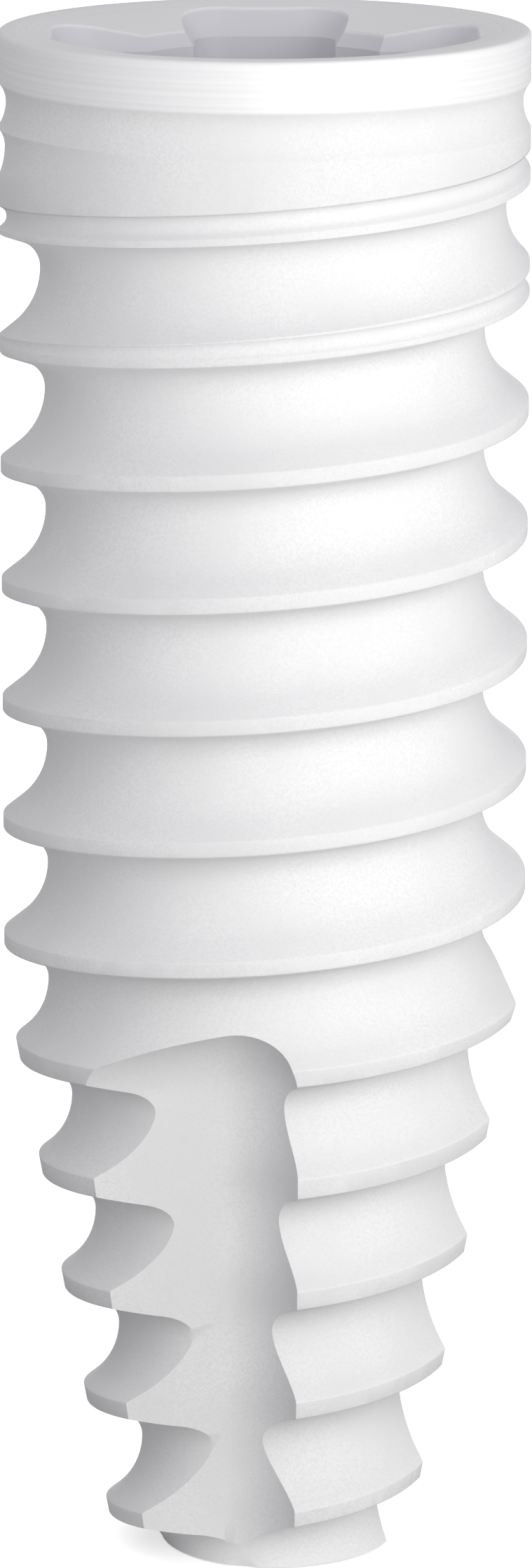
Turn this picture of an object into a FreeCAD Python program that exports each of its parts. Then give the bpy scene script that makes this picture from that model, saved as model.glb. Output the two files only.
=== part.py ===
"""One-piece ceramic dental implant: tapered screw body, three cutting flutes, cross-shaped internal socket.

Units are millimetres. +Z is up, the origin is the centre of the flat apex, and the front is -Y.
Depths are measured down from the platform, the flat ring on top.
"""
import FreeCAD, Part
import os
import re
import Sketcher

doc = FreeCAD.newDocument("dental_implant")


# Driving sizes

sheet = doc.addObject("Spreadsheet::Sheet", "sizes")
SIZES = [
    ("body_length", 12.69, "apex to platform"),
    ("body_radius", 2.15, "collar, and thread crest where the body is straight"),
    ("rim_chamfer", 0.03, "bevel on the platform's outer edge"),
    ("taper_depth", 7.857, "where the taper starts"),
    ("crest_taper", 10.35, "half angle of the cone over the thread crests"),
    ("core_taper", 10.9, "half angle of the cone through the thread roots"),
    ("groove_depth", 0.406, "where the collar ends and its ring groove starts"),
    ("groove_upper", 0.168, "height of the ring groove above its deepest line"),
    ("groove_lower", 0.211, "height of the ring groove below its deepest line"),
    ("groove_cut", 0.063, "how far the ring groove cuts in"),
    ("thread_pitch", 0.9886, "rise of the right-handed thread in one turn"),
    ("thread_phase", 180.0, "direction in which the thread reaches the taper"),
    ("thread_cut", 0.363, "thread crest to thread root"),
    ("crest_land", 0.125, "flat on top of a crest"),
    ("underside_slope", 18.65, "steep lower face of a crest, from level"),
    ("underside_round", 0.231, "round from that face into the root"),
    ("flank_slope", 51.2, "long upper face of a crest, from the axis"),
    ("hollow_flats", 3, "flats along each hollow of the thread"),
    ("runout_depth", 2.034, "where the root starts to move outwards"),
    ("runout_slope", 15.7, "root of the fading thread, from the axis"),
    ("notch_cut", 0.061, "how far the fine groove beside the fading thread cuts in"),
    ("notch_round", 0.095, "round bottom of the fine groove"),
    ("notch_flats", 1, "flats along each half of that round"),
    ("notch_ceiling", 17.2, "upper face of the fine groove, from level"),
    ("notch_flank", 47.8, "lower face of the fine groove, from the axis"),
    ("notch_depth", 2.516, "where the fine groove starts"),
    ("notch_fade", 6.3, "slope of its root at the start"),
    ("flute_count", 3, "cutting flutes"),
    ("flute_depth", 8.353, "centre of the flute's rounded end"),
    ("flute_floor", 1.408, "axis to the flute's floor at that depth"),
    ("flute_lean", 7.6, "lean of the floor towards the axis"),
    ("flute_wall", 0.269, "flute's upright wall beyond the middle plane"),
    ("flute_round", 0.602, "round between floor, wall and end"),
    ("flute_fall", 9.4, "fall of the flute's end away from the wall"),
    ("rim_width", 0.215, "flat ring of the platform"),
    ("seat_slope", 10.0, "dished seat inside the ring, from level"),
    ("bevel_depth", 0.26, "lower line of the socket's bevel"),
    ("bevel_slope", 32.0, "bevel, from the axis"),
    ("lobe_reach", 1.59, "axis to the end of a lobe"),
    ("lobe_width", 1.16, "width of a lobe"),
    ("lobe_round", 0.26, "corner of a lobe"),
    ("lobe_pairs", 2, "bars that cross in the socket, each with a lobe at both ends"),
    ("socket_radius", 1.1, "round middle of the socket"),
    ("socket_depth", 1.6, "floor of the socket"),
    ("screw_radius", 0.8, "bore for the abutment screw"),
    ("screw_depth", 6.0, "where the bore's drill point starts"),
    ("drill_point", 59.0, "half angle of the drill point"),
    ("cutter_stand", 0.05, "how far a cutter stands out of the straight body"),
    ("taper_stand", 0.11, "how far the thread's cutter stands out on the taper"),
]
for row, (name, value, meaning) in enumerate(SIZES, start=1):
    sheet.set(f"A{row}", name)
    sheet.set(f"B{row}", str(value))
    sheet.set(f"C{row}", meaning)
    sheet.setAlias(f"B{row}", name)
doc.recompute()
NAMES = "|".join(entry[0] for entry in SIZES)


# Heights and radii that follow from the sizes

CORE = "(body_radius - thread_cut)"
TAPER_Z = "(body_length - taper_depth)"
RUNOUT_Z = "(body_length - runout_depth)"
GROOVE_Z = "(body_length - groove_depth - groove_upper)"
APEX = f"(body_radius - {TAPER_Z} * tan(crest_taper))"
SEAT_RADIUS = "(body_radius - rim_width)"
BEVEL_Z = "(body_length - bevel_depth)"
SEAT_FALL = "tan(seat_slope)"
BEVEL_RUN = "tan(bevel_slope)"
MOUTH = (
    f"((socket_radius + (bevel_depth - {SEAT_RADIUS} * {SEAT_FALL}) * {BEVEL_RUN})"
    f" / (1 - {SEAT_FALL} * {BEVEL_RUN}))"
)
MOUTH_Z = f"(body_length - ({SEAT_RADIUS} - {MOUTH}) * {SEAT_FALL})"
THREAD_UPPER = (
    "(underside_round * cos(underside_slope)"
    " + (thread_cut - underside_round * (1 - sin(underside_slope))) * tan(underside_slope))"
)
THREAD_LOWER = f"(thread_pitch - crest_land - {THREAD_UPPER})"
FLANK_ROUND = (
    f"(({THREAD_LOWER} * sin(flank_slope) - thread_cut * cos(flank_slope))"
    " / (1 - cos(flank_slope)))"
)


def cells(text):
    """Turn the size names in an expression into references to their cells."""
    return re.sub(rf"\b({NAMES})\b", r"sizes.\1", str(text))


def bind(thing, target, text):
    """Let an expression drive a property."""
    thing.setExpression(target, cells(text))


def plane(body, role):
    """One of the body's own base planes or axes."""
    return next(item for item in body.Origin.OriginFeatures if item.Role == role)


def sketch(body, name, corners, turn="0"):
    """Closed outline on the upright plane that is turned about the axis by an angle.

    A corner is a pair of expressions, radius and height. A third one makes the edge that leaves
    the corner an arc, and gives the height of the arc's centre.
    """
    made = body.newObject("Sketcher::SketchObject", name)
    made.AttachmentSupport = [(plane(body, "XZ_Plane"), "")]
    made.MapMode = "FlatFace"
    made.AttachmentOffset = FreeCAD.Placement(FreeCAD.Vector(), FreeCAD.Rotation(FreeCAD.Vector(0, 1, 0), 1))
    bind(made, "AttachmentOffset.Rotation.Angle", turn)

    def number(text):
        return float(made.evalExpression(cells(text)))

    points = [FreeCAD.Vector(number(c[0]), number(c[1]), 0) for c in corners]
    ends = []
    for index, corner in enumerate(corners):
        start = points[index]
        end = points[(index + 1) % len(points)]
        if len(corner) == 3:
            middle = (start + end) * 0.5
            step = end - start
            height = number(corner[2])
            centre = FreeCAD.Vector(middle.x - (height - middle.y) * step.y / step.x, height, 0)
            bulge = (middle - centre).normalize() * centre.distanceToPoint(start)
            left_turn = (start - centre).cross(end - centre).z > 0
            first, last = (start, end) if left_turn else (end, start)
            made.addGeometry(Part.Arc(first, centre + bulge, last))
            ends.append((1, 2) if left_turn else (2, 1))
        else:
            made.addGeometry(Part.LineSegment(start, end))
            ends.append((1, 2))
    for index, corner in enumerate(corners):
        here = ends[index][0]
        before = (index - 1) % len(corners)
        made.addConstraint(Sketcher.Constraint("Coincident", before, ends[before][1], index, here))
        across = made.addConstraint(Sketcher.Constraint("DistanceX", -1, 1, index, here, points[index].x))
        bind(made, f"Constraints[{across}]", corner[0])
        up = made.addConstraint(Sketcher.Constraint("DistanceY", -1, 1, index, here, points[index].y))
        bind(made, f"Constraints[{up}]", corner[1])
        if len(corner) == 3:
            level = made.addConstraint(Sketcher.Constraint("DistanceY", -1, 1, index, 3, number(corner[2])))
            bind(made, f"Constraints[{level}]", corner[2])
    return made


# Turned blank: taper, straight body, collar with its ring groove, dished seat, socket and bore

implant = doc.addObject("PartDesign::Body", "implant_body")
implant.Label = "implant_body"
profile = sketch(implant, "blank_outline", [
    ("0", "0"),
    (APEX, "0"),
    ("body_radius", TAPER_Z),
    ("body_radius", f"{GROOVE_Z} - groove_lower", GROOVE_Z),
    ("body_radius - groove_cut", GROOVE_Z, GROOVE_Z),
    ("body_radius", f"{GROOVE_Z} + groove_upper"),
    ("body_radius", "body_length - rim_chamfer"),
    ("body_radius - rim_chamfer", "body_length"),
    (SEAT_RADIUS, "body_length"),
    (MOUTH, MOUTH_Z),
    ("socket_radius", BEVEL_Z),
    ("socket_radius", "body_length - socket_depth"),
    ("screw_radius", "body_length - socket_depth"),
    ("screw_radius", "body_length - screw_depth"),
    ("0", "body_length - screw_depth - screw_radius / tan(drill_point)"),
])
blank = implant.newObject("PartDesign::Revolution", "blank")
blank.Profile = profile
blank.ReferenceAxis = (plane(implant, "Z_Axis"), [""])
blank.Angle = 360
doc.recompute()


# Helical grooves

def hollow(root, low, radius, angle, flats):
    """Points on an arc that leaves the root point upright; a negative angle goes down.

    The cutter has flats in place of arcs, which keeps the helical faces plain.
    """
    points = []
    for step in range(1, int(sheet.get(flats)) + 1):
        part = f"({angle}) * {step} / {flats}"
        points.append((f"{root} + {radius} * (1 - cos({part}))", f"{low} + {radius} * sin({part})"))
    return points


def groove(name, root, low, rise, slope, section, stand, below="0"):
    """Cut a helical groove upwards from a root point, along a cone of the given slope.

    The section is upper slope, upper round, lower slope, lower round, depth and flats on each
    round. The angle of the start follows from the height, so grooves with the same lead join.
    """
    ceiling, upper, flank, lower, cut, flats = section
    out = f"({cut} + {stand})"
    turn = f"thread_phase + 360 * ({low} - {below} - {TAPER_Z}) / thread_pitch"
    above = hollow(root, low, upper, f"90 - {ceiling}", flats)
    under = hollow(root, low, lower, f"0 - {flank}", flats)
    outline = sketch(implant, f"{name}_section", [
        (root, low),
        *above,
        (f"{root} + {out}", f"{above[-1][1]} + ({out} - {upper} * (1 - sin({ceiling}))) * tan({ceiling})"),
        (f"{root} + {out}", f"{under[-1][1]} - ({out} - {lower} * (1 - cos({flank}))) / tan({flank})"),
        *reversed(under),
    ], turn)
    made = implant.newObject("PartDesign::SubtractiveHelix", name)
    made.Profile = outline
    made.ReferenceAxis = (plane(implant, "Z_Axis"), [""])
    made.Mode = "pitch-height-angle"
    bind(made, "Pitch", "thread_pitch")
    bind(made, "Height", rise)
    bind(made, "Angle", slope)
    made.LeftHanded = False
    made.Refine = False
    return made


THREAD = ("underside_slope", "underside_round", "flank_slope", FLANK_ROUND, "thread_cut", "hollow_flats")
NOTCH = ("notch_ceiling", "notch_round", "notch_flank", "notch_round", "notch_cut", "notch_flats")
NOTCH_RISE = f"({THREAD_UPPER} + crest_land)"
LEAD_IN = f"({TAPER_Z} + thread_pitch)"
FADE = "((notch_cut + cutter_stand) / tan(notch_fade))"
NOTCH_Z = "(body_length - notch_depth + notch_cut / tan(notch_fade))"
groove("straight_thread", CORE, TAPER_Z, "taper_depth - runout_depth", "0", THREAD, "cutter_stand")
groove("tapered_thread", f"{CORE} - {LEAD_IN} * tan(core_taper)", f"{TAPER_Z} - {LEAD_IN}", LEAD_IN,
       "core_taper", THREAD, "taper_stand")
groove("fading_thread", CORE, RUNOUT_Z, "(thread_cut + cutter_stand) / tan(runout_slope)", "runout_slope",
       THREAD, "cutter_stand")
groove("notch_start", "body_radius + cutter_stand", f"{NOTCH_Z} - {FADE}", FADE, "0 - notch_fade", NOTCH,
       "cutter_stand", NOTCH_RISE)
groove("notch", "body_radius - notch_cut", NOTCH_Z, f"{GROOVE_Z} - {NOTCH_Z}", "0", NOTCH,
       "cutter_stand", NOTCH_RISE)


# Socket: four lobes with a bevel

def pocket(name, outline, depth, taper, upwards):
    """Cut an outline into the body, straight or widening."""
    made = implant.newObject("PartDesign::Pocket", name)
    made.Profile = outline
    made.Type = 0
    made.Reversed = upwards
    bind(made, "Length", depth)
    bind(made, "TaperAngle", taper)
    return made


lobes = sketch(implant, "lobe_outline", [
    ("lobe_reach", "lobe_width / 2 - lobe_round", "lobe_width / 2 - lobe_round"),
    ("lobe_reach - lobe_round", "lobe_width / 2"),
    ("lobe_round - lobe_reach", "lobe_width / 2", "lobe_width / 2 - lobe_round"),
    ("0 - lobe_reach", "lobe_width / 2 - lobe_round"),
    ("0 - lobe_reach", "lobe_round - lobe_width / 2", "lobe_round - lobe_width / 2"),
    ("lobe_round - lobe_reach", "0 - lobe_width / 2"),
    ("lobe_reach - lobe_round", "0 - lobe_width / 2", "lobe_round - lobe_width / 2"),
    ("lobe_reach", "lobe_round - lobe_width / 2"),
])
lobes.AttachmentSupport = [(plane(implant, "XY_Plane"), "")]
bind(lobes, "AttachmentOffset.Base.z", BEVEL_Z)
straight = pocket("lobe_pair", lobes, "socket_depth - bevel_depth", "0", False)
bevel = pocket("lobe_bevel", lobes, "bevel_depth + cutter_stand", "bevel_slope", True)
cross = implant.newObject("PartDesign::PolarPattern", "cross_socket")
cross.Originals = [straight, bevel]
cross.Axis = (plane(implant, "Z_Axis"), [""])
bind(cross, "Angle", "180 - 180 / lobe_pairs")
bind(cross, "Occurrences", "lobe_pairs")
implant.Tip = cross
doc.recompute()


# Flutes: one cutter, placed round the body and lifted with the lead of the thread

def flute(number):
    """A rounded block that stands out of the body: its corner is the flute's inner end."""
    block = doc.addObject("PartDesign::Body", f"flute_cutter_{number}")
    far = "(body_radius + flute_round)"
    drop = f"({far} * tan(flute_fall))"
    low = "(flute_depth - body_length - flute_round)"
    face = sketch(block, f"flute_outline_{number}", [
        ("flute_wall", "flute_round"),
        (f"0 - {far}", f"flute_round - {drop}"),
        (f"0 - {far}", low),
        ("flute_wall", low),
    ])
    face.AttachmentOffset = FreeCAD.Placement(FreeCAD.Vector(), FreeCAD.Rotation(FreeCAD.Vector(1, 0, 0), 1))
    bind(face, "AttachmentOffset.Rotation.Angle", "flute_lean")
    bind(face, "AttachmentOffset.Base.y", "body_length - flute_depth")
    bind(face, "AttachmentOffset.Base.z", "flute_floor")
    pad = block.newObject("PartDesign::Pad", f"flute_block_{number}")
    pad.Profile = face
    pad.UseCustomVector = True
    pad.Direction = FreeCAD.Vector(0, -1, 0)
    bind(pad, "Length", "2 * body_radius")
    doc.recompute()
    corner = max((v.Point for v in pad.Shape.Vertexes), key=lambda p: (round(p.x + p.z, 3), p.y))
    edges = [f"Edge{i}" for i, edge in enumerate(pad.Shape.Edges, start=1)
             if any(v.Point.isEqual(corner, 1e-4) for v in edge.Vertexes)]
    rounded = block.newObject("PartDesign::Fillet", f"flute_round_{number}")
    rounded.Base = (pad, edges)
    bind(rounded, "Radius", "flute_round")
    block.Placement = FreeCAD.Placement(FreeCAD.Vector(), FreeCAD.Rotation(FreeCAD.Vector(0, 0, 1), 1))
    bind(block, "Placement.Rotation.Angle", f"{number} * 360 / flute_count")
    bind(block, "Placement.Base.z", f"{number} * thread_pitch / flute_count")
    return block


count = int(sheet.get("flute_count"))
cutters = [flute(number - (count - 1) // 2) for number in range(count)]
flutes = implant.newObject("PartDesign::Boolean", "flutes")
flutes.Type = "Cut"
flutes.Group = cutters
doc.recompute()


# Checks and export

for item in doc.Objects:
    if {"Invalid", "Error"} & set(item.State):
        raise RuntimeError(f"{item.Label} is {item.State}")
if implant.Shape.isNull() or not implant.Shape.isValid():
    raise RuntimeError("implant_body has no valid shape")
os.makedirs("parts", exist_ok=True)
implant.Shape.exportStep("parts/implant_body.step")
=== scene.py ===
"""A ceramic dental implant standing on its apex on a white surface.

The body is modelled in millimetres and brought to metres at the end. Depths are measured down from
the platform, the flat ring on top.
"""
import math

import bpy
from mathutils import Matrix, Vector


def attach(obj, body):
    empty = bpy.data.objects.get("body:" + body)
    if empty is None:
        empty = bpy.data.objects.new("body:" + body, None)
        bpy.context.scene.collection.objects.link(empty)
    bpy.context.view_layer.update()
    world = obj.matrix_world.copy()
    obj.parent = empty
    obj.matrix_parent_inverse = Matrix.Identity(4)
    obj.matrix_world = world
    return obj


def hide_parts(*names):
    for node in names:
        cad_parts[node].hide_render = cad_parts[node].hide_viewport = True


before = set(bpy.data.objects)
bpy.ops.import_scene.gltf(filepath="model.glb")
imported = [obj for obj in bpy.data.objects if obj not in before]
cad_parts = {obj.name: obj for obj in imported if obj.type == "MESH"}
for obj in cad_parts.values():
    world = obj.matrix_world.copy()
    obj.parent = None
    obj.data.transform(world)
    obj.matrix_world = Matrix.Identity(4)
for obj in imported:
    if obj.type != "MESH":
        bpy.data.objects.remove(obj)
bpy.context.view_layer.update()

MM = 0.001
LENGTH = 12.69
RADIUS = 2.15
TAPER_DEPTH = 7.857
CREST_TAPER = math.tan(math.radians(10.35))
CORE_TAPER = math.tan(math.radians(10.9))
PITCH = 0.9886
THREAD_CUT = 0.363
LAND = 0.125
RUNOUT_DEPTH = 2.034
RUNOUT_SLOPE = math.tan(math.radians(15.7))
EDGE = 0.022
EDGE_STEPS = 3
EDGE_MEET = math.radians(16)
ROUND_STEPS = 144
ROW = 0.2


# Working by hand in edit mode

def deselect():
    """Leave nothing selected, the loaded nodes among them."""
    if bpy.context.object and bpy.context.object.mode != "OBJECT":
        bpy.ops.object.mode_set(mode="OBJECT")
    bpy.ops.object.select_all(action="DESELECT")


def only(piece):
    """Make one object the selected and active one."""
    deselect()
    piece.select_set(True)
    bpy.context.view_layer.objects.active = piece


def edit(piece, kind="FACE"):
    """Open an object in edit mode with nothing selected."""
    only(piece)
    bpy.ops.object.mode_set(mode="EDIT")
    bpy.ops.mesh.select_mode(type=kind)
    bpy.ops.mesh.select_all(action="DESELECT")


def pick(piece, test, kind="FACE"):
    """Select what passes a test of its middle and, in turn, its normal or, for an edge, its ends."""
    bpy.ops.mesh.select_mode(type=kind)
    bpy.ops.mesh.select_all(action="DESELECT")
    bpy.ops.object.mode_set(mode="OBJECT")
    mesh = piece.data
    if kind == "FACE":
        for face in mesh.polygons:
            face.select = test(face.center, face.normal)
    elif kind == "EDGE":
        for edge in mesh.edges:
            ends = [mesh.vertices[i].co for i in edge.vertices]
            edge.select = test((ends[0] + ends[1]) / 2, ends)
    else:
        for vertex in mesh.vertices:
            vertex.select = test(vertex.co, vertex.normal)
    bpy.ops.object.mode_set(mode="EDIT")


def close_edit():
    """Turn the faces outwards and leave edit mode."""
    bpy.ops.mesh.select_all(action="SELECT")
    bpy.ops.mesh.remove_doubles(threshold=1e-5)
    bpy.ops.mesh.normals_make_consistent(inside=False)
    bpy.ops.object.mode_set(mode="OBJECT")


def apply_modifier(piece, kind, **settings):
    """Add a modifier, set it and apply it."""
    only(piece)
    modifier = piece.modifiers.new(kind.title(), kind)
    for key, value in settings.items():
        setattr(modifier, key, value)
    bpy.ops.object.modifier_apply(modifier=modifier.name)


def carve(piece, *cutters):
    """Take the cutters' space out of a piece and drop the cutters."""
    for cutter in cutters:
        apply_modifier(piece, "BOOLEAN", operation="DIFFERENCE", solver="MANIFOLD", object=cutter)
        bpy.data.objects.remove(cutter, do_unlink=True)


# Turned blank

def arc(centre, radius, start, end, steps):
    """Radius and height stations on a circular arc, angles in degrees from the outward direction."""
    stations = []
    for i in range(steps + 1):
        a = math.radians(start + (end - start) * i / steps)
        stations.append((centre[0] + radius * math.cos(a), centre[1] + radius * math.sin(a)))
    return stations


def rows(start, end):
    """Stations on a straight line, about one row apart, without its last point."""
    count = round(math.dist(start, end) / ROW)
    return [tuple(a + (b - a) * i / count for a, b in zip(start, end)) for i in range(count)]


def turned(name, stations, steps=ROUND_STEPS):
    """A round solid: a disc extruded from station to station, closed at its last ring."""
    deselect()
    radius, height = stations[0]
    bpy.ops.mesh.primitive_circle_add(vertices=steps, radius=radius, fill_type="NGON",
                                      location=(0, 0, height))
    piece = bpy.context.object
    piece.name = name
    bpy.ops.object.transform_apply(location=True, rotation=False, scale=False)
    edit(piece)
    bpy.ops.mesh.select_all(action="SELECT")
    for new_radius, new_height in stations[1:]:
        bpy.ops.mesh.extrude_region_move(TRANSFORM_OT_translate={"value": (0, 0, new_height - height)})
        grow = new_radius / radius
        bpy.ops.transform.resize(value=(grow, grow, 1), center_override=(0, 0, new_height))
        radius, height = new_radius, new_height
    close_edit()
    return piece


GROOVE_DEPTH = 0.406
GROOVE_UPPER = 0.168
GROOVE_LOWER = 0.211
GROOVE_CUT = 0.063
GROOVE_LINE = LENGTH - GROOVE_DEPTH - GROOVE_UPPER
RIM_ROUND = 0.04
RIM_WIDTH = 0.215
SEAT_RADIUS = RADIUS - RIM_WIDTH
SEAT_FALL = math.tan(math.radians(10))
BEVEL_DEPTH = 0.26
BEVEL_RUN = math.tan(math.radians(32))
SOCKET_RADIUS = 1.1
SOCKET_DEPTH = 1.6
SCREW_RADIUS = 0.8
SCREW_DEPTH = 6.0
DRILL_ANGLE = math.radians(59)
DRILL_TIP = 0.002
TAPER_TOP = LENGTH - TAPER_DEPTH
APEX_RADIUS = RADIUS - TAPER_TOP * CREST_TAPER

mouth = (SOCKET_RADIUS + (BEVEL_DEPTH - SEAT_RADIUS * SEAT_FALL) * BEVEL_RUN) / (1 - SEAT_FALL * BEVEL_RUN)
mouth_height = LENGTH - (SEAT_RADIUS - mouth) * SEAT_FALL
neck_low = GROOVE_LINE - GROOVE_LOWER - ROW
stations = rows((APEX_RADIUS, 0.0), (RADIUS, TAPER_TOP)) + rows((RADIUS, TAPER_TOP), (RADIUS, neck_low))
for reach, side in ((GROOVE_LOWER, -1), (GROOVE_UPPER, 1)):
    hollow = (reach ** 2 + GROOVE_CUT ** 2) / (2 * GROOVE_CUT)
    rise = math.sqrt((hollow + RIM_ROUND) ** 2 - (hollow + RIM_ROUND - GROOVE_CUT) ** 2)
    turn = math.degrees(math.asin(rise / (hollow + RIM_ROUND)))
    round_in = arc((RADIUS - GROOVE_CUT + hollow, GROOVE_LINE), hollow, 180, 180 - side * turn, 6)
    round_out = arc((RADIUS - RIM_ROUND, GROOVE_LINE + side * rise), RIM_ROUND, -side * turn, 0, 4)
    half = round_in + round_out[1:]
    stations += half[1:] if side > 0 else half[::-1]
stations += arc((RADIUS - RIM_ROUND, LENGTH - RIM_ROUND), RIM_ROUND, 0, 90, 4)
stations += [
    (SEAT_RADIUS, LENGTH),
    (mouth, mouth_height),
    (SOCKET_RADIUS, LENGTH - BEVEL_DEPTH),
    (SOCKET_RADIUS, LENGTH - SOCKET_DEPTH),
    (SCREW_RADIUS, LENGTH - SOCKET_DEPTH),
    (SCREW_RADIUS, LENGTH - SCREW_DEPTH),
    (DRILL_TIP, LENGTH - SCREW_DEPTH - SCREW_RADIUS / math.tan(DRILL_ANGLE)),
]
implant = turned("implant", stations)


# Helical grooves

def groove_side(angle, hollow, cut, slope, stand, steps):
    """Half a groove's section, from its root point: a hollow arc, a straight and a broken edge.

    The angle from the axis is the straight's, cut and slope are the body's surface there.
    """
    points = []
    for i in range(steps + 1):
        a = angle * i / steps
        points.append((hollow * (1 - math.cos(a)), hollow * math.sin(a)))
    x, y = points[-1]
    last = slope + EDGE_MEET
    side = x * math.cos(angle) - y * math.sin(angle) - EDGE
    face = cut * math.cos(slope) - EDGE * math.cos(EDGE_MEET)
    spread = math.sin(angle - slope)
    x = (face * math.sin(angle) - side * math.sin(slope)) / spread
    y = (face * math.cos(angle) - side * math.cos(slope)) / spread
    for i in range(EDGE_STEPS + 1):
        a = angle + (last - angle) * i / EDGE_STEPS
        points.append((x + EDGE * math.cos(a), y - EDGE * math.sin(a)))
    x, y = points[-1]
    points.append((x + EDGE * math.sin(last), y + EDGE * math.cos(last)))
    points.append((x + stand, points[-1][1]))
    return points


def groove_section(upper, lower, stand):
    """Outward distance and height, from the root point, all round a groove's section."""
    above = groove_side(*upper, stand, 8)
    below = [(x, -y) for x, y in groove_side(*lower, stand, 10)]
    return above + below[:0:-1]


def wound(name, section, low, high, root, pitch=PITCH, steps=ROUND_STEPS):
    """A cutter wound round the axis; section and radius are given for each height of its root.

    Its rings lie at the same angles as the blank's edges, which keeps the cut clean.
    """
    first = math.floor((low - TAPER_TOP) / pitch * steps)
    count = math.ceil((high - low) / pitch * steps)
    deselect()
    mesh = bpy.data.meshes.new(name)
    points = []
    for i in range(count + 1):
        height = TAPER_TOP + (first + i) / steps * pitch
        angle = math.pi + 2 * math.pi * (first + i) / steps
        outline = section(height)
        for out, up in outline:
            radius = root(height) + out
            points.append((radius * math.cos(angle), radius * math.sin(angle), height + up))
    size = len(outline)
    faces = []
    for i in range(count):
        for j in range(size):
            k = (j + 1) % size
            faces.append((i * size + j, i * size + k, (i + 1) * size + k, (i + 1) * size + j))
    faces.append(tuple(range(size)))
    faces.append(tuple(range(count * size + size - 1, count * size - 1, -1)))
    mesh.from_pydata(points, [], faces)
    piece = bpy.data.objects.new(name, mesh)
    bpy.context.collection.objects.link(piece)
    edit(piece)
    close_edit()
    return piece


def body_surface(height):
    """Radius of the blank: a cone, then straight."""
    return RADIUS - max(0.0, TAPER_TOP - height) * CREST_TAPER


def thread_root(height):
    """Radius of the thread's root: a cone, then straight, then fading out."""
    core = RADIUS - THREAD_CUT
    taper = max(0.0, TAPER_TOP - height) * CORE_TAPER
    fade = max(0.0, height - (LENGTH - RUNOUT_DEPTH)) * RUNOUT_SLOPE
    return core - taper + fade


CEILING = math.radians(90 - 18.65)
CEILING_ROUND = 0.231
FLANK = math.radians(51.2)
UPPER_REACH = (CEILING_ROUND * math.sin(CEILING)
               + (THREAD_CUT - CEILING_ROUND * (1 - math.cos(CEILING))) / math.tan(CEILING))
LOWER_REACH = PITCH - LAND - UPPER_REACH
FLANK_ROUND = (LOWER_REACH * math.sin(FLANK) - THREAD_CUT * math.cos(FLANK)) / (1 - math.cos(FLANK))
THREAD_STAND = 0.12
SLOPE_STEP = 0.05
TURNS_BELOW = 6
RUNOUT_STAND = 0.05


def thread_section(height):
    """The thread's groove: its edges meet the surface, which is a cone low down."""
    root = body_surface(height) - THREAD_CUT - max(0.0, TAPER_TOP - height) * (CORE_TAPER - CREST_TAPER)
    sides = []
    for angle, hollow, reach in ((CEILING, CEILING_ROUND, UPPER_REACH), (FLANK, FLANK_ROUND, -LOWER_REACH)):
        there = body_surface(height + reach)
        rise = body_surface(height + reach * (1 + SLOPE_STEP)) - there
        slope = rise / (reach * SLOPE_STEP)
        cut = there - slope * reach - root
        sides.append((angle, hollow, cut, math.atan(math.copysign(slope, reach))))
    return groove_section(*sides, THREAD_STAND)


thread_top = LENGTH - RUNOUT_DEPTH + (THREAD_CUT + RUNOUT_STAND) / RUNOUT_SLOPE
thread_low = TAPER_TOP - TURNS_BELOW * PITCH
thread_cutter = wound("thread_cutter", thread_section, thread_low, thread_top, thread_root)

NOTCH_CUT = 0.061
NOTCH_ROUND = 0.095
NOTCH_CEILING = math.radians(90 - 17.2)
NOTCH_FLANK = math.radians(47.8)
NOTCH_START = LENGTH - 2.516
NOTCH_FADE = math.tan(math.radians(6.3))
NOTCH_RISE = UPPER_REACH + LAND
NOTCH_STAND = 0.05
NOTCH_LEAD = 0.3


def notch_section(height):
    """The fine groove's section, which lies one crest above the thread's root."""
    sides = [(angle, NOTCH_ROUND, NOTCH_CUT, 0.0) for angle in (NOTCH_CEILING, NOTCH_FLANK)]
    return [(out, up + NOTCH_RISE) for out, up in groove_section(*sides, NOTCH_STAND)]


def notch_root(height):
    """Radius of the fine groove's root, which starts on the surface and goes in."""
    return RADIUS - min(NOTCH_CUT, (height + NOTCH_RISE - NOTCH_START) * NOTCH_FADE)


notch_cutter = wound("notch_cutter", notch_section, NOTCH_START - NOTCH_LEAD - NOTCH_RISE,
                     GROOVE_LINE - NOTCH_RISE, notch_root)
carve(implant, thread_cutter, notch_cutter)


# Thread in the bore, for the abutment screw

SCREW_PITCH = 0.35
SCREW_CUT = 0.13
SCREW_START = SCREW_DEPTH - 0.25
SCREW_END = 2.35
SCREW_FLAT = 0.06
SCREW_SLANT = math.tan(math.radians(30))
SCREW_STEPS = 72


def screw_section(height):
    """A flat-bottomed V with sides at 60 degrees, drawn from inside the bore."""
    inside = 0.03
    half = SCREW_PITCH * SCREW_FLAT
    wide = half + (SCREW_CUT + inside) * SCREW_SLANT
    return [(-inside, wide), (SCREW_CUT, half), (SCREW_CUT, -half), (-inside, -wide)]


carve(implant, wound("screw_cutter", screw_section, LENGTH - SCREW_START, LENGTH - SCREW_END,
                     lambda height: SCREW_RADIUS, SCREW_PITCH, SCREW_STEPS))


# Cutting flutes

FLUTE_DEPTH = 8.353
FLUTE_FLOOR = 1.408
FLUTE_LEAN = math.tan(math.radians(7.6))
FLUTE_WALL = 0.269
FLUTE_ROUND = 0.602
FLUTE_FALL = math.tan(math.radians(9.4))
FLUTE_STEPS = 20


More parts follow.
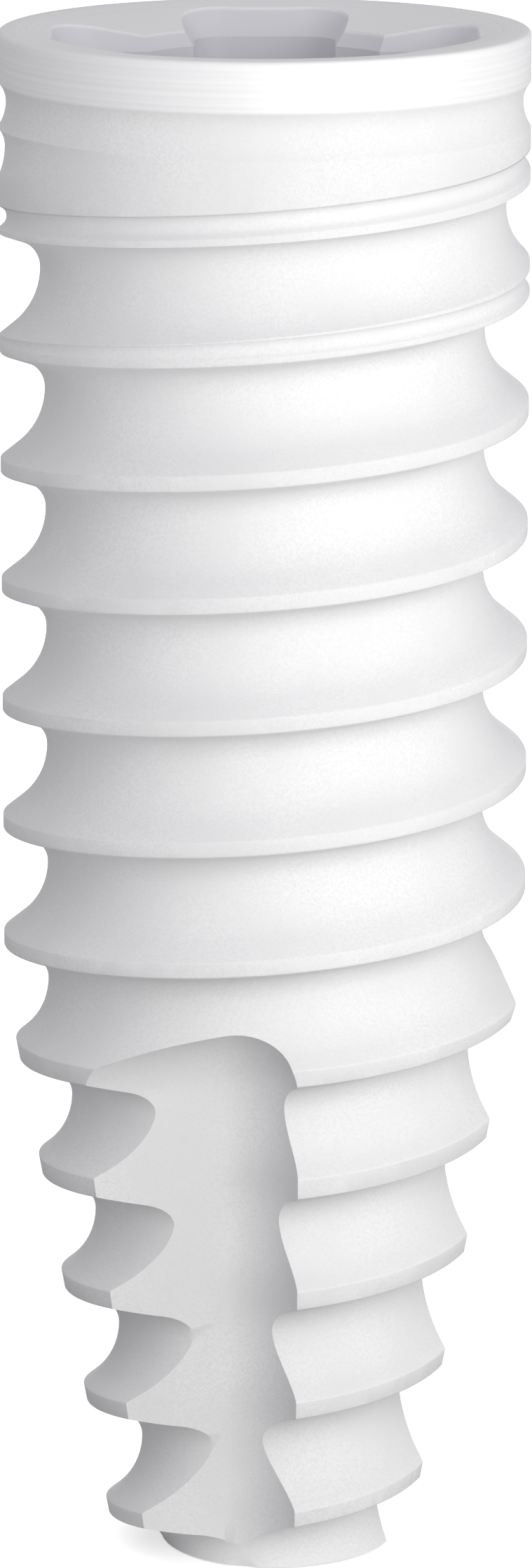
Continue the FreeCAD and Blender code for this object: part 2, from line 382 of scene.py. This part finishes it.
def flute_cutter(number):
    """A block with a round inner corner, turned by thirds and lifted with the thread."""
    wide = RADIUS + FLUTE_ROUND + FLUTE_WALL
    top = LENGTH - FLUTE_DEPTH + FLUTE_ROUND
    deep = 2 * RADIUS
    deselect()
    bpy.ops.mesh.primitive_cube_add(size=1, scale=(wide, deep, top + FLUTE_ROUND), location=(
        FLUTE_WALL - wide / 2, -FLUTE_FLOOR - deep / 2, (top - FLUTE_ROUND) / 2))
    piece = bpy.context.object
    piece.name = f"flute_cutter_{number}"
    bpy.ops.object.transform_apply(location=True, rotation=True, scale=True)
    edit(piece)
    pick(piece, lambda at, n: at.x < 0 and at.z > 0, "VERT")
    bpy.ops.transform.translate(value=(0, 0, -wide * FLUTE_FALL))
    levels = {(-1, -1): -FLUTE_ROUND, (1, -1): -FLUTE_ROUND, (-1, 1): top - wide * FLUTE_FALL, (1, 1): top}
    for (side, end), height in levels.items():
        pick(piece, lambda at, n: at.y > -2 and at.x * side > 0 and at.z * end > 0, "VERT")
        bpy.ops.transform.translate(value=(0, (LENGTH - FLUTE_DEPTH - height) * FLUTE_LEAN, 0))
    corner = Vector((FLUTE_WALL, -FLUTE_FLOOR - FLUTE_ROUND * FLUTE_LEAN, top))
    pick(piece, lambda at, ends: min((end - corner).length for end in ends) < 0.01, "EDGE")
    bpy.ops.mesh.bevel(offset=FLUTE_ROUND, offset_type="OFFSET", segments=FLUTE_STEPS, profile=0.5,
                       affect="EDGES")
    for level in range(1, int(top / ROW)):
        bpy.ops.mesh.select_all(action="SELECT")
        bpy.ops.mesh.bisect(plane_co=(0, 0, level * ROW), plane_no=(0, 0, 1))
    close_edit()
    piece.rotation_euler = (0, 0, math.radians(120 * number))
    piece.location = (0, 0, number * PITCH / 3)
    only(piece)
    bpy.ops.object.transform_apply(location=True, rotation=True, scale=True)
    return piece


carve(implant, *[flute_cutter(number) for number in (-1, 0, 1)])


# Socket with four lobes

LOBE_REACH = 1.59
LOBE_WIDTH = 1.16
LOBE_ROUND = 0.26
LOBE_STEPS = 10
LOBE_START = 0.1


def lobe_cutter(angle):
    """A rounded bar: it narrows down to the bevel's lower line, then goes straight down."""
    grow = BEVEL_DEPTH * BEVEL_RUN
    deselect()
    block = (2 * (LOBE_REACH + grow), LOBE_WIDTH + 2 * grow, LOBE_START)
    bpy.ops.mesh.primitive_cube_add(size=1, scale=block, location=(0, 0, LENGTH + LOBE_START / 2))
    piece = bpy.context.object
    piece.name = f"lobe_cutter_{angle}"
    bpy.ops.object.transform_apply(location=True, rotation=True, scale=True)
    edit(piece, "EDGE")
    pick(piece, lambda at, ends: ends[0].z != ends[1].z, "EDGE")
    bpy.ops.mesh.bevel(offset=LOBE_ROUND + grow, offset_type="OFFSET", segments=LOBE_STEPS, profile=0.5,
                       affect="EDGES")
    pick(piece, lambda at, n: n.z < -0.9)
    bpy.ops.mesh.inset(thickness=grow, depth=BEVEL_DEPTH)
    bpy.ops.mesh.extrude_region_move(TRANSFORM_OT_translate={"value": (0, 0, BEVEL_DEPTH - SOCKET_DEPTH)})
    close_edit()
    piece.rotation_euler = (0, 0, math.radians(angle))
    only(piece)
    bpy.ops.object.transform_apply(location=True, rotation=True, scale=True)
    return piece


carve(implant, lobe_cutter(0), lobe_cutter(90))


# From millimetres to metres, as a piece of the frame

only(implant)
implant.scale = (MM, MM, MM)
bpy.ops.object.transform_apply(location=True, rotation=True, scale=True)
bpy.ops.object.shade_smooth_by_angle(angle=math.radians(30))
apply_modifier(implant, "WEIGHTED_NORMAL", keep_sharp=True)
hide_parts("implant_body")
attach(implant, "root")


# Finishes

def linear(code):
    """sRGB hex to linear colour."""
    out = []
    for i in (0, 2, 4):
        c = int(code[i:i + 2], 16) / 255
        out.append(c / 12.92 if c <= 0.04045 else ((c + 0.055) / 1.055) ** 2.4)
    return (*out, 1.0)


def node(tree, kind, feeds=None, **settings):
    """Add a node, give it its settings, and set or link the inputs that feeds names."""
    made = tree.nodes.new(kind)
    for key, value in settings.items():
        setattr(made, key, value)
    for socket, source in (feeds or {}).items():
        if isinstance(source, bpy.types.Node):
            source = source.outputs[0]
        if isinstance(source, bpy.types.NodeSocket):
            tree.links.new(source, made.inputs[socket])
        else:
            made.inputs[socket].default_value = source
    return made


def finish(name):
    """A material with its shader, and the object's own coordinates in millimetres."""
    material = bpy.data.materials.new(name)
    material.use_nodes = True
    tree = material.node_tree
    metres = node(tree, "ShaderNodeTexCoord").outputs["Object"]
    place = node(tree, "ShaderNodeVectorMath", {0: metres, "Scale": 1 / MM}, operation="SCALE")
    return material, tree, tree.nodes["Principled BSDF"], place


COLLAR_LINE = LENGTH - GROOVE_DEPTH
INNER_RADIUS = 1.77
INNER_LOW = 5.0
# Depth below the seat where the socket's painted shade begins
SEAT_SKIN = 0.017
GRAIN = 0.022
CLOUD = 0.9
TOOL_MARK = 0.035
RELIEF = 0.0010

# Zirconia has about 2.15: less keeps the highlight as flat as on the object

IOR = 1.9


def zirconia():
    """Sintered zirconia: a dense, opaque white ceramic without a metal's glints.

    The thread is blasted and etched, so it is dull. Its grain is drawn at about 0.02 mm, coarser than
    the real one, so that it shows. The collar and the seat are ground, which leaves a soft sheen and fine
    rings from the wheel, drawn wide enough to show. Inside the socket, below the seat, the colour is
    painted a shade greyer and cooler: painted shade in the recess.
    """
    material, tree, shader, place = finish("Zirconia, blasted thread and ground collar")
    axes = node(tree, "ShaderNodeSeparateXYZ", {0: place})
    height = axes.outputs["Z"]
    flat = node(tree, "ShaderNodeCombineXYZ", {"X": axes.outputs["X"], "Y": axes.outputs["Y"]})
    radius = node(tree, "ShaderNodeVectorMath", {0: flat}, operation="LENGTH").outputs["Value"]

    # Where each way of working the surface reaches, and where the socket's painted shade lies, as shares
    # from 0 to 1

    collar = node(tree, "ShaderNodeMapRange", {0: height, 1: COLLAR_LINE - 0.02, 2: COLLAR_LINE + 0.02},
                  interpolation_type="SMOOTHSTEP")
    near_axis = node(tree, "ShaderNodeMapRange", {0: radius, 1: INNER_RADIUS + 0.02, 2: INNER_RADIUS},
                     interpolation_type="SMOOTHSTEP")
    above_foot = node(tree, "ShaderNodeMapRange", {0: height, 1: INNER_LOW, 2: INNER_LOW + 0.1},
                      interpolation_type="SMOOTHSTEP")
    inner = node(tree, "ShaderNodeMath", {0: near_axis, 1: above_foot}, operation="MULTIPLY")
    seat = node(tree, "ShaderNodeMath", {0: radius, 1: SEAT_FALL, 2: LENGTH - SEAT_RADIUS * SEAT_FALL},
                operation="MULTIPLY_ADD")
    below = node(tree, "ShaderNodeMath", {0: seat, 1: height}, operation="SUBTRACT")
    under_seat = node(tree, "ShaderNodeMapRange", {0: below, 1: SEAT_SKIN - 0.013, 2: SEAT_SKIN + 0.013},
                      interpolation_type="SMOOTHSTEP")
    # Painted shade: the socket below the seat gets a greyer, cooler colour for the shade in the recess
    painted_socket_shade = node(tree, "ShaderNodeMath", {0: inner, 1: under_seat}, operation="MULTIPLY")
    ground = node(tree, "ShaderNodeMath", {0: collar, 1: inner}, operation="MAXIMUM")
    blasted = node(tree, "ShaderNodeMath", {0: 1.0, 1: ground}, operation="SUBTRACT")

    # Grain of the blasting, clouds of the firing and rings of the wheel

    grain_steps = node(tree, "ShaderNodeVectorMath", {0: place, "Scale": 1 / GRAIN}, operation="SCALE")
    grain = node(tree, "ShaderNodeTexNoise", {"Vector": grain_steps, "Scale": 1.0, "Detail": 3.0,
                                              "Roughness": 0.6})
    cloud_steps = node(tree, "ShaderNodeVectorMath", {0: place, "Scale": 1 / CLOUD}, operation="SCALE")
    cloud = node(tree, "ShaderNodeTexNoise", {"Vector": cloud_steps, "Scale": 1.0, "Detail": 2.0})
    along = node(tree, "ShaderNodeMath", {0: height, 1: radius}, operation="ADD")
    ring_place = node(tree, "ShaderNodeCombineXYZ", {"X": along})
    rings = node(tree, "ShaderNodeTexNoise", {"Vector": ring_place, "Scale": 1 / TOOL_MARK, "Detail": 2.0})

    # Colour

    cloudy = node(tree, "ShaderNodeMapRange", {0: cloud, 1: 0.3, 2: 0.7}, interpolation_type="SMOOTHSTEP")
    fired = node(tree, "ShaderNodeMix", {0: cloudy, 6: linear("E9E9EA"), 7: linear("EFEFF0")},
                 data_type="RGBA")
    specks = node(tree, "ShaderNodeMapRange", {0: grain, 1: 0.35, 2: 0.6}, interpolation_type="SMOOTHSTEP")
    dull = node(tree, "ShaderNodeMix", {0: specks, 6: linear("E7E7E8"), 7: fired.outputs[2]},
                data_type="RGBA")
    ringed = node(tree, "ShaderNodeMapRange", {0: rings, 1: 0.3, 2: 0.7}, interpolation_type="SMOOTHSTEP")
    bright = node(tree, "ShaderNodeMix", {0: ringed, 6: linear("F1F1F2"), 7: linear("F7F7F8")},
                  data_type="RGBA")
    outside = node(tree, "ShaderNodeMix", {0: ground, 6: dull.outputs[2], 7: bright.outputs[2]},
                   data_type="RGBA")
    # The socket's greyer, cooler colour E2E1E6 is painted shade, not the zirconia's own colour
    colour = node(tree, "ShaderNodeMix", {0: painted_socket_shade, 6: outside.outputs[2], 7: linear("E2E1E6")},
                  data_type="RGBA")
    tree.links.new(colour.outputs[2], shader.inputs["Base Color"])

    # Roughness and relief

    matt = node(tree, "ShaderNodeMapRange", {0: grain, 1: 0.3, 2: 0.7, 3: 0.76, 4: 0.90})
    sheen = node(tree, "ShaderNodeMapRange", {0: rings, 1: 0.3, 2: 0.7, 3: 0.48, 4: 0.58})
    rough = node(tree, "ShaderNodeMix", {0: ground, 2: matt, 3: sheen})
    tree.links.new(rough.outputs[0], shader.inputs["Roughness"])
    shader.inputs["IOR"].default_value = IOR

    pits = node(tree, "ShaderNodeMath", {0: grain, 1: blasted}, operation="MULTIPLY")
    shallow = node(tree, "ShaderNodeMath", {0: ground, 1: 0.25}, operation="MULTIPLY")
    relief = node(tree, "ShaderNodeMath", {0: rings, 1: shallow, 2: pits}, operation="MULTIPLY_ADD")
    bumps = node(tree, "ShaderNodeBump", {"Height": relief, "Strength": 1.0, "Distance": RELIEF * MM})
    tree.links.new(bumps.outputs[0], shader.inputs["Normal"])
    return material


implant.data.materials.clear()
implant.data.materials.append(zirconia())


def light_table():
    """Opal acrylic sheet lit from below, a plain white to the eye.

    Its own colour is darker in a ring round the foot, a painted shade on the sheet that also shades the
    thread from below, and lighter just beside the foot, a painted light that lights the apex from below.
    The glow is dimmed close to the foot, a painted contact shadow. The glow is linked to the sheet alone,
    so it doesn't light the implant.
    """
    material, tree, shader, place = finish("Opal acrylic light table")
    away = node(tree, "ShaderNodeVectorMath", {0: place}, operation="LENGTH").outputs["Value"]
    # Painted shade: the sheet's colour is darker in a ring round the foot
    open_sheet = node(tree, "ShaderNodeMapRange", {0: away, 1: 3.5, 2: 30.0},
                      interpolation_type="SMOOTHSTEP")
    painted_shade_ring = node(tree, "ShaderNodeMix", {0: open_sheet, 6: linear("8C8C8C"), 7: linear("E6E6E6")},
                  data_type="RGBA")
    # Painted light: the sheet's colour is lighter close to the foot, to light the apex from below
    past_foot = node(tree, "ShaderNodeMapRange", {0: away, 1: 1.2, 2: 3.0},
                     interpolation_type="SMOOTHSTEP")
    sheet = node(tree, "ShaderNodeMix", {0: past_foot, 6: linear("CACACA"), 7: painted_shade_ring.outputs[2]},
                 data_type="RGBA")
    tree.links.new(sheet.outputs[2], shader.inputs["Base Color"])
    # Painted contact shadow: the glow is dimmed close to the foot
    glow_with_painted_contact_shadow = node(tree, "ShaderNodeMapRange", {0: away, 1: 0.9, 2: 1.8, 3: 0.6, 4: 0.95},
                 interpolation_type="SMOOTHSTEP")
    tree.links.new(glow_with_painted_contact_shadow.outputs[0], shader.inputs["Emission Strength"])
    shader.inputs["Emission Color"].default_value = linear("FFFFFF")
    shader.inputs["Roughness"].default_value = 0.9
    return material


FLOOR_WIDE = 1.2
FLOOR_DROP = 0.00001

deselect()
bpy.ops.mesh.primitive_plane_add(size=FLOOR_WIDE, location=(0, 0, -FLOOR_DROP))
floor = bpy.context.object
floor.name = "floor"
floor.data.materials.append(light_table())
glow = bpy.data.collections.new("what the glow reaches")
glow.objects.link(floor)
floor.light_linking.receiver_collection = glow


# Light and camera

def softbox(name, place, target, size, power, colour="FFFFFF"):
    """A square area light that faces a point."""
    data = bpy.data.lights.new(name, "AREA")
    data.size = size
    data.energy = power
    data.color = linear(colour)[:3]
    lamp = bpy.data.objects.new(name, data)
    bpy.context.collection.objects.link(lamp)
    lamp.location = place
    way = (target[0] - place[0], target[1] - place[1], target[2] - place[2])
    lamp.rotation_euler = Vector(way).to_track_quat("-Z", "Y").to_euler()
    return lamp


AMBIENT = 0.58
SENSOR = 36
FOCAL_PIXELS = 10855.2
PICTURE_HEIGHT = 2238
SHIFT_PIXELS = 2.0
CAMERA_AWAY = 0.06106
CAMERA_ABOVE = 0.007468
CAMERA_TILT = math.radians(77.355)

softbox("key", place=(0.01336, -0.02461, 0.0110), target=(0, 0, 0.0080), size=0.028, power=0.00625,
        colour="FFFEFC")
softbox("back", place=(0.004, 0.048, 0.006), target=(0, 0, 0.006), size=0.011, power=0.0065)
world = bpy.data.worlds.new("studio")
world.use_nodes = True
world.node_tree.nodes["Background"].inputs["Color"].default_value = linear("FCFCFF")
world.node_tree.nodes["Background"].inputs["Strength"].default_value = AMBIENT
bpy.context.scene.world = world
bpy.context.scene.view_settings.view_transform = "Standard"

camera_data = bpy.data.cameras.new("camera")
camera_data.sensor_fit = "VERTICAL"
camera_data.sensor_height = SENSOR
camera_data.lens = SENSOR * FOCAL_PIXELS / PICTURE_HEIGHT
camera_data.shift_x = SHIFT_PIXELS / PICTURE_HEIGHT
camera_data.clip_start = 0.005
camera = bpy.data.objects.new("camera", camera_data)
bpy.context.collection.objects.link(camera)
camera.location = (0, -CAMERA_AWAY, LENGTH * MM + CAMERA_ABOVE)
camera.rotation_euler = (CAMERA_TILT, 0, 0)
bpy.context.scene.camera = camera
